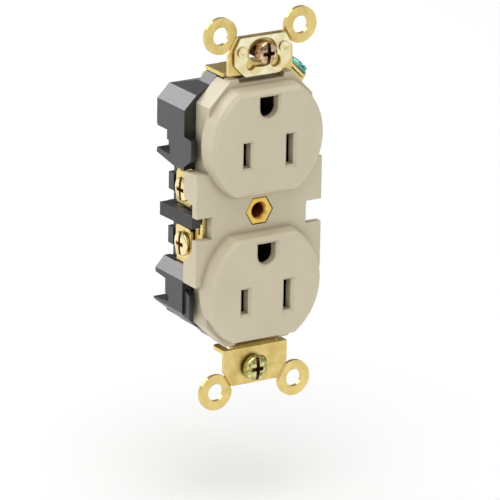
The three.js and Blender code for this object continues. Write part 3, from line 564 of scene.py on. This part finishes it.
def add_terminal_screws():
    for pole, side in POLES:
        for level in LEVELS:
            node_name = f"terminal_screw_{pole}_{level}"
            piece = screw(f"{node_name}_detail", TERMINAL_TIP, TERMINAL_SEAT, TERMINAL_HEAD,
                          TERMINAL_RECESS)
            origin = JOINTS[f"screw_{pole}_{level}_turn"]["pos_m"]
            out = X_AXIS * side
            stand_for(piece, node_name, (Z_AXIS.cross(out), Z_AXIS, out), origin)


GROUND_SEAT, GROUND_TIP = 1.2, -6.8
GROUND_SHANK, GROUND_THREAD_DEPTH, GROUND_POINT = 2.0, 0.25, 1.0
GROUND_FLANGE_HEIGHT, GROUND_HEX_HEIGHT = 0.7, 1.0
GROUND_HEX_APOTHEM = 3.15 * math.cos(math.pi / 6)
GROUND_HEX_BEVEL, GROUND_TOP_SHARE = 0.25, 0.93
# radius and height over the seat
GROUND_FLANGE = [(3.35, 0.0), (3.5, 0.15), (3.5, 0.4), (3.3, GROUND_FLANGE_HEIGHT)]
GROUND_SLOT_LENGTH, GROUND_SLOT_DEPTH = 9.0, 0.85


def add_ground_screw():
    """Hexagonal head on a round flange, with a slot cut across it."""
    seat, apothem = GROUND_SEAT, GROUND_HEX_APOTHEM
    top = seat + GROUND_FLANGE_HEIGHT + GROUND_HEX_HEIGHT
    rings = thread(GROUND_SHANK, GROUND_THREAD_DEPTH, GROUND_TIP, seat - JOIN_STEP,
                   point=GROUND_POINT)
    rings += [around(radius, seat + height) for radius, height in GROUND_FLANGE]
    rings += [around(hexagon(apothem), seat + GROUND_FLANGE_HEIGHT + JOIN_STEP),
              around(hexagon(apothem), top - GROUND_HEX_BEVEL),
              around(apothem * GROUND_TOP_SHARE, top)]
    piece = skin("ground_screw_detail", rings)
    carve(piece, [wedge(SLOT_WIDTH, GROUND_SLOT_LENGTH, top - GROUND_SLOT_DEPTH,
                        top + CUT_CLEARANCE, 1.0)])
    out = (X_AXIS + Z_AXIS).normalized()
    origin = JOINTS["ground_screw_turn"]["pos_m"]
    stand_for(piece, "ground_screw", (Y_AXIS.cross(out), Y_AXIS, out), origin)


# ---------------------------------------------------------------- bush and stake heads

BUSH_APOTHEM = 6.95 / 2
BUSH_HEX_BEVEL, BUSH_HEX_CORNER = 0.22, 0.25
BUSH_HEAD_END = -0.9
BUSH_SHANK, BUSH_SHANK_END = 2.7, -19.62
BUSH_ROLL_RADII = (3.6, 3.5, 3.2)      # of the rolled end, from its root to its rim
BUSH_ROLL_STEP, BUSH_ROLL_BEVEL = 0.03, 0.1
BUSH_MOUTH, BUSH_FAR_MOUTH = 2.45, 1.9
BUSH_THREAD, BUSH_THREAD_DEPTH = 1.82, 0.2
BUSH_THREAD_INSETS = (0.3, 0.75)       # from the rolled end and from the head's face
BUSH_COUNTERSINK = [(2.0, 0.45), (2.3, 0.1)]    # radius and depth below the head's face


def add_bush():
    """Hexagonal head, shank and rolled end, with a real thread down the bore."""
    low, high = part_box("cover_screw_bush")
    front, end = -low.y / MM, -high.y / MM
    apothem = BUSH_APOTHEM
    root, belly, rim = BUSH_ROLL_RADII
    outer = [
        (BUSH_MOUTH, front),
        (hexagon(apothem - BUSH_HEX_CORNER), front),
        (hexagon(apothem), front - BUSH_HEX_BEVEL),
        (hexagon(apothem), BUSH_HEAD_END),
        (BUSH_SHANK, BUSH_HEAD_END - JOIN_STEP),
        (BUSH_SHANK, BUSH_SHANK_END),
        (root, BUSH_SHANK_END - BUSH_ROLL_STEP),
        (belly, end + BUSH_ROLL_BEVEL),
        (rim, end),
        (BUSH_FAR_MOUTH, end),
    ]
    far_inset, near_inset = BUSH_THREAD_INSETS
    rings = [around(radius, height) for radius, height in outer]
    rings += thread(BUSH_THREAD, BUSH_THREAD_DEPTH, end + far_inset, front - near_inset)
    rings += [around(radius, front - depth) for radius, depth in BUSH_COUNTERSINK]
    piece = skin("cover_screw_bush_detail", rings, closed=True)
    thread_end = len(rings) - len(BUSH_COUNTERSINK)
    # the bore's thread takes the second material, painted darker as shade
    for polygon in piece.data.polygons:
        ring = min(polygon.vertices) // FACETS
        polygon.material_index = int(len(outer) <= ring < thread_end)
    stand_for(piece, "cover_screw_bush", FORWARD, (0, 0, 0))


STAKE_X, STAKE_FACE, STAKE_Z = 6.15, 2.51, 42.8
# radius and height over the clip's face, from the rim in to the dimple
STAKE_PROFILE = [(1.15, 0.0), (1.42, 0.02), (1.4, 0.14), (1.2, 0.22), (0.8, 0.2), (0.55, 0.1),
                 (0.2, 0.06)]
STAKE_SOFTNESS = {"width": 0.04, "segments": 2, "angle": 30}


def add_stake_heads():
    """Struck heads of the two stakes that hold the grounding clip, each with a dimple."""
    for hand, side in (("left", -1), ("right", 1)):
        rings = [around(radius, STAKE_FACE + height) for radius, height in STAKE_PROFILE]
        piece = skin(f"stake_head_{hand}", rings)
        set_down(piece, FORWARD, Vector((side * STAKE_X, 0, STAKE_Z)) * MM)
        piece.data.materials.append(MATERIALS["clip"])
        soften(piece, **STAKE_SOFTNESS)
        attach(piece, "base")


# ---------------------------------------------------------------- floor and light

FLOOR_GAP = 25.0
FLOOR_REACH_METRES = 6.0
FLOOR_BLOTCH = 400.0
FLOOR_DARK, FLOOR_LIGHT = (0.93, 0.93, 0.93, 1), (0.95, 0.95, 0.95, 1)
FLOOR_ROUGHNESS, FLOOR_SPECULAR = 0.9, 0.1
LIGHTS = [
    # name, direction towards the light, distance and side in metres, watts, colour
    ("overhead", (-0.1, -0.15, 1.0), 2.2, 2.2, 25, (1.0, 1.0, 1.0)),
    ("key", (-0.45, -0.6, 0.7), 1.8, 0.9, 2.0, (1.0, 0.99, 0.97)),
    ("rim", (-0.31, 0.8, 0.5), 1.6, 0.7, 9, (1.0, 1.0, 1.0)),
]
DARK_SIDE = Vector((0.5, 0.8, 0.3)).normalized()   # the studio is darker behind, to the right
SKY_LIGHT, SKY_DARK = 0.6, 0.2
SKY_TURN = (0.45, 0.88)      # cosine to the dark side where the sky starts and stops darkening


def add_floor():
    mesh = bpy.data.meshes.new("floor")
    reach = FLOOR_REACH_METRES
    level = CAD_BOX[0].z - FLOOR_GAP * MM
    corners = [(-reach, -reach, level), (reach, -reach, level), (reach, reach, level),
               (-reach, reach, level)]
    mesh.from_pydata(corners, [], [(0, 1, 2, 3)])
    floor = bpy.data.objects.new("floor", mesh)
    bpy.context.scene.collection.objects.link(floor)
    made, tree, shader, place = base_material("floor_white")
    cloud = noise(tree, place, FLOOR_BLOTCH, detail=2.0)
    tree.links.new(ramp(tree, cloud, FLOOR_DARK, FLOOR_LIGHT), shader.inputs["Base Color"])
    shader.inputs["Roughness"].default_value = FLOOR_ROUGHNESS
    shader.inputs["Specular IOR Level"].default_value = FLOOR_SPECULAR
    mesh.materials.append(made)


def add_lights():
    for name, direction, distance, side, power, colour in LIGHTS:
        data = bpy.data.lights.new(name, "AREA")
        data.size = side
        data.energy = power
        data.color = colour
        light = bpy.data.objects.new(name, data)
        light.location = Vector(direction).normalized() * distance
        light.rotation_mode = "QUATERNION"
        light.rotation_quaternion = Vector(direction).to_track_quat("Z", "Y")
        bpy.context.scene.collection.objects.link(light)


def add_sky():
    """Plain white light from all round, dimmer towards the dark side."""
    world = bpy.data.worlds.new("studio")
    world.use_nodes = True
    tree = world.node_tree
    background = tree.nodes["Background"]
    background.inputs["Color"].default_value = (1, 1, 1, 1)
    direction = node(tree, "ShaderNodeTexCoord").outputs["Generated"]
    toward = node(tree, "ShaderNodeVectorMath", {0: direction, 1: DARK_SIDE},
                  operation="DOT_PRODUCT").outputs["Value"]
    tree.links.new(spread(tree, toward, SKY_LIGHT, SKY_DARK, *SKY_TURN),
                   background.inputs["Strength"])
    bpy.context.scene.world = world
    bpy.context.scene.view_settings.view_transform = "Standard"


add_camera()
dress_nodes()
add_mounting_screws()
add_terminal_screws()
add_ground_screw()
add_bush()
add_stake_heads()
add_floor()
add_lights()
add_sky()
